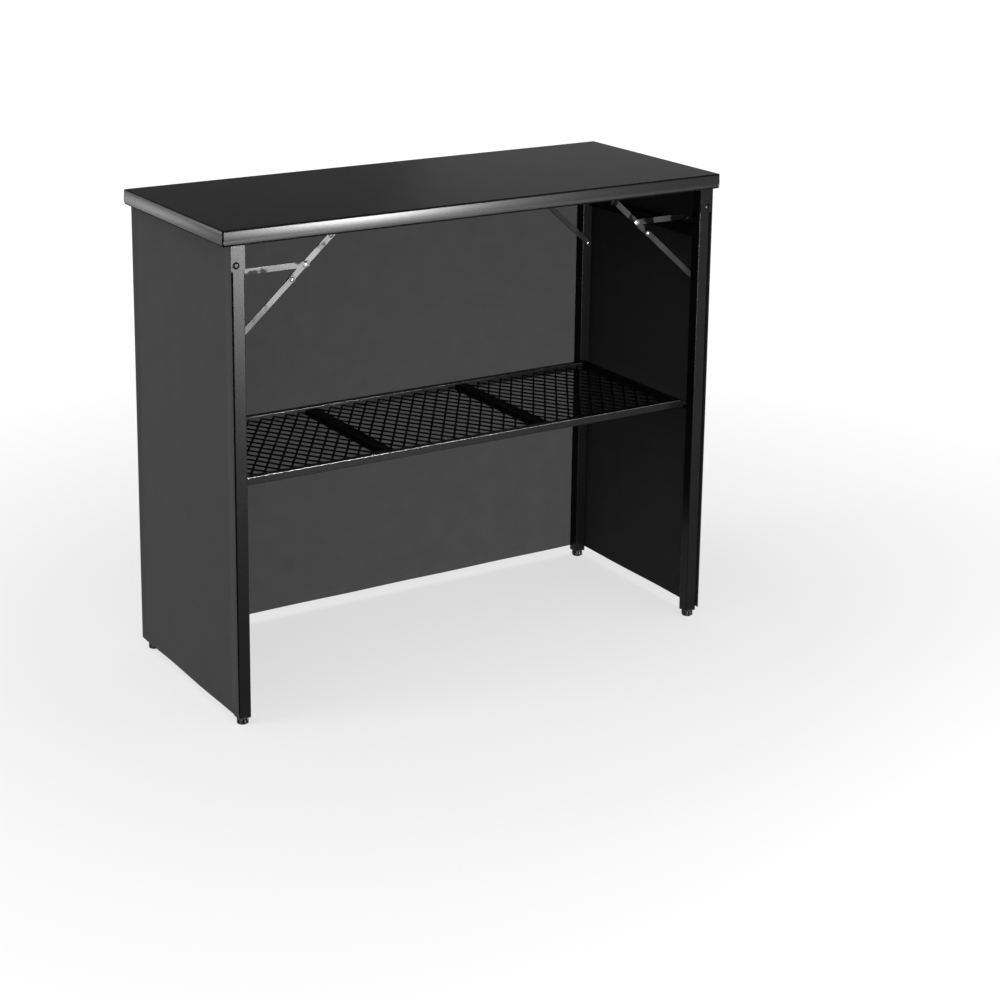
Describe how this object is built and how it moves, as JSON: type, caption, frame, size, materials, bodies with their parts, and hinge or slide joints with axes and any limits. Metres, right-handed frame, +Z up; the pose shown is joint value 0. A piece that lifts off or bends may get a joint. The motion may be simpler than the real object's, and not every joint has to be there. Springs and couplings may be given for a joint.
{
  "type": "folding portable bar counter",
  "caption": "Folding bar counter: flat top on hinged square-tube leg frames with locking stays, mesh shelf, cloth skirt on three sides and levelling feet.",
  "frame": {"origin": "on the floor under the middle of the top", "axes": "+X along the width, +Y to the back, +Z up"},
  "size_m": [1.143, 0.4572, 0.9779],
  "materials": {
    "top_board": "satin",
    "edge_band": "satin",
    "powder_coat": "satin",
    "stay_steel": "satin",
    "bright_rivet": "satin",
    "black_fastener": "satin",
    "foot_metal": "satin",
    "plug_plastic": "matte",
    "skirt_cloth": "matte",
    "hook_tape": "matte"
  },
  "bodies": {
    "root": {"top_panel": "top_board", "edge_front": "edge_band", "edge_back": "edge_band", "edge_left": "edge_band", "edge_right": "edge_band", "leg_bracket_front_left": "powder_coat", "leg_bracket_front_right": "powder_coat", "leg_bracket_back_left": "powder_coat", "leg_bracket_back_right": "powder_coat", "stay_brackets": "powder_coat", "bracket_screws": "black_fastener", "pivot_bolts": "black_fastener", "stay_pins": "stay_steel", "skirt_left": "skirt_cloth", "skirt_right": "skirt_cloth", "skirt_back": "skirt_cloth", "skirt_tapes": "hook_tape"},
    "shelf": {"shelf_rail_front": "powder_coat", "shelf_rail_back": "powder_coat", "shelf_rail_left": "powder_coat", "shelf_rail_right": "powder_coat", "shelf_cross_bars": "powder_coat", "shelf_mesh_left": "powder_coat", "shelf_mesh_middle": "powder_coat", "shelf_mesh_right": "powder_coat", "shelf_hooks": "powder_coat"},
    "frame_left": {"leg_front_left": "powder_coat", "leg_back_left": "powder_coat", "cross_rail_left": "powder_coat", "pivot_sleeves_left": "black_fastener", "leg_plugs_left": "plug_plastic", "shelf_studs_left": "bright_rivet", "leg_rivets_left": "bright_rivet"},
    "upper_stays_left": {"upper_stay_front_left": "stay_steel", "upper_stay_back_left": "stay_steel", "upper_stay_rivets_left": "bright_rivet"},
    "lower_stays_left": {"lower_stay_front_left": "stay_steel", "lower_stay_back_left": "stay_steel", "knee_rivets_left": "bright_rivet"},
    "latches_left": {"latch_front_left": "stay_steel", "latch_back_left": "stay_steel"},
    "foot_body_front_left": {"foot_front_left": "foot_metal"},
    "foot_body_back_left": {"foot_back_left": "foot_metal"},
    "frame_right": {"leg_front_right": "powder_coat", "leg_back_right": "powder_coat", "cross_rail_right": "powder_coat", "pivot_sleeves_right": "black_fastener", "leg_plugs_right": "plug_plastic", "shelf_studs_right": "bright_rivet", "leg_rivets_right": "bright_rivet"},
    "upper_stays_right": {"upper_stay_front_right": "stay_steel", "upper_stay_back_right": "stay_steel", "upper_stay_rivets_right": "bright_rivet"},
    "lower_stays_right": {"lower_stay_front_right": "stay_steel", "lower_stay_back_right": "stay_steel", "knee_rivets_right": "bright_rivet"},
    "latches_right": {"latch_front_right": "stay_steel", "latch_back_right": "stay_steel"},
    "foot_body_front_right": {"foot_front_right": "foot_metal"},
    "foot_body_back_right": {"foot_back_right": "foot_metal"}
  },
  "joints": [
    {"name": "fold_left", "type": "hinge", "parent": "root", "child": "frame_left", "pos_m": [-0.5432, 0, 0.91], "axis": [0, -1, 0], "range_deg": [0, 88.2], "deforming": ["skirt_left"]},
    {"name": "stay_head_left", "type": "hinge", "parent": "root", "child": "upper_stays_left", "pos_m": [-0.3282, 0, 0.938], "axis": [0, -1, 0], "range_deg": [0, 119.4]},
    {"name": "stay_foot_left", "type": "hinge", "parent": "frame_left", "child": "lower_stays_left", "pos_m": [-0.5372, 0, 0.753], "axis": [0, -1, 0], "range_deg": [-133.5, 0]},
    {"name": "latch_pivot_left", "type": "hinge", "parent": "frame_left", "child": "latches_left", "pos_m": [-0.5372, 0, 0.8885], "axis": [0, -1, 0], "range_deg": [-79.5, 0]},
    {"name": "level_front_left", "type": "slide", "parent": "frame_left", "child": "foot_body_front_left", "axis": [0, 0, -1], "range_m": [0, 0.01]},
    {"name": "level_back_left", "type": "slide", "parent": "frame_left", "child": "foot_body_back_left", "axis": [0, 0, -1], "range_m": [0, 0.01]},
    {"name": "fold_right", "type": "hinge", "parent": "root", "child": "frame_right", "pos_m": [0.5432, 0, 0.91], "axis": [0, 1, 0], "range_deg": [0, 91.3], "deforming": ["skirt_right", "skirt_back"]},
    {"name": "stay_head_right", "type": "hinge", "parent": "root", "child": "upper_stays_right", "pos_m": [0.3282, 0, 0.938], "axis": [0, 1, 0], "range_deg": [0, 117.1]},
    {"name": "stay_foot_right", "type": "hinge", "parent": "frame_right", "child": "lower_stays_right", "pos_m": [0.5372, 0, 0.753], "axis": [0, 1, 0], "range_deg": [-141.1, 0]},
    {"name": "latch_pivot_right", "type": "hinge", "parent": "frame_right", "child": "latches_right", "pos_m": [0.5372, 0, 0.8885], "axis": [0, 1, 0], "range_deg": [-82.3, 0]},
    {"name": "level_front_right", "type": "slide", "parent": "frame_right", "child": "foot_body_front_right", "axis": [0, 0, -1], "range_m": [0, 0.01]},
    {"name": "level_back_right", "type": "slide", "parent": "frame_right", "child": "foot_body_back_right", "axis": [0, 0, -1], "range_m": [0, 0.01]},
    {"name": "shelf_lift", "type": "slide", "parent": "root", "child": "shelf", "axis": [0, 0, 1], "range_m": [0, 0.46]}
  ],
  "couplings": [
    {"joint": "stay_head_left", "follows": "fold_left", "ratio": 1.3521},
    {"joint": "stay_foot_left", "follows": "fold_left", "ratio": -1.5118},
    {"joint": "latch_pivot_left", "follows": "fold_left", "ratio": -0.9},
    {"joint": "stay_head_right", "follows": "fold_right", "ratio": 1.2808},
    {"joint": "stay_foot_right", "follows": "fold_right", "ratio": -1.5433},
    {"joint": "latch_pivot_right", "follows": "fold_right", "ratio": -0.9}
  ]
}
